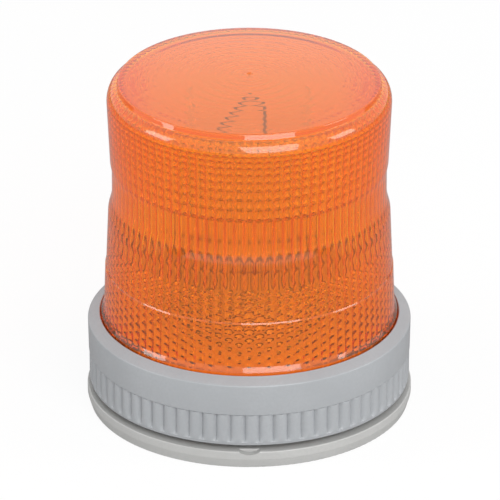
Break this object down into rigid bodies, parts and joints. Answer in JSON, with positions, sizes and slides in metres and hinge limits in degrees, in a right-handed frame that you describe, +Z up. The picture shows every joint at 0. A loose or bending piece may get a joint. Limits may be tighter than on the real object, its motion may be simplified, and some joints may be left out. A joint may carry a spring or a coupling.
{
  "type": "warning beacon light",
  "caption": "Surface-mount warning light: round grey base, ribbed twist collar and an amber ribbed lens over a flash tube in a clear shield.",
  "frame": {"origin": "centre of the base's underside, on the surface it is fixed to", "axes": "+Z up along the lamp's axis, the front with the base's thumb notch faces -Y, +X to the right seen from the front"},
  "size_m": [0.1308, 0.1308, 0.1422],
  "materials": {
    "base_grey": "satin moulded",
    "collar_grey": "satin moulded",
    "lens_amber": "clear tinted polycarbonate, gloss",
    "clear_plastic": "clear gloss",
    "tube_glass": "clear gloss",
    "fuse_glass": "clear gloss",
    "seal_rubber": "matt",
    "foam_pad": "matt foam",
    "board_green": "solder-masked laminate",
    "nylon": "matt",
    "screw_steel": "zinc plated",
    "terminal_green": "satin",
    "can_black": "printed sleeve, gloss",
    "ferrite": "matt sintered",
    "winding": "taped",
    "coil_red": "dipped",
    "clip_brass": "plated",
    "chip_black": "matt",
    "resistor_tan": "lacquered",
    "diode_black": "satin",
    "socket_brown": "moulded phenolic",
    "reflector_white": "gloss white",
    "ceramic_white": "glazed",
    "tungsten": "bright"
  },
  "bodies": {
    "root": {"base_housing": "base_grey", "lens_gasket": "seal_rubber", "base_gasket": "foam_pad", "circuit_board": "board_green", "board_spacers": "nylon", "board_screws": "screw_steel", "terminal_block": "terminal_green", "terminal_screws": "screw_steel", "storage_capacitor": "can_black", "transformer_core": "ferrite", "transformer_coil": "winding", "trigger_coil": "coil_red", "fuse": "fuse_glass", "fuse_caps": "clip_brass", "fuse_clips": "clip_brass", "timer_chip": "chip_black", "resistors": "resistor_tan", "rectifier_diodes": "diode_black", "lamp_socket": "socket_brown", "reflector": "reflector_white", "lamp_shield": "clear_plastic", "lamp_base": "ceramic_white", "flash_tube": "tube_glass", "tube_electrodes": "tungsten", "lamp_wires": "tungsten"},
    "lens": {"lens": "lens_amber"},
    "collar": {"lens_collar": "collar_grey"}
  },
  "joints": [
    {"name": "lens_lift", "type": "slide", "parent": "root", "child": "lens", "axis": [0, 0, 1], "range_m": [0, 0.12]},
    {"name": "collar_turn", "type": "hinge", "parent": "lens", "child": "collar", "pos_m": [0, 0, 0.02], "axis": [0, 0, 1], "range_deg": [-38, 0]}
  ]
}
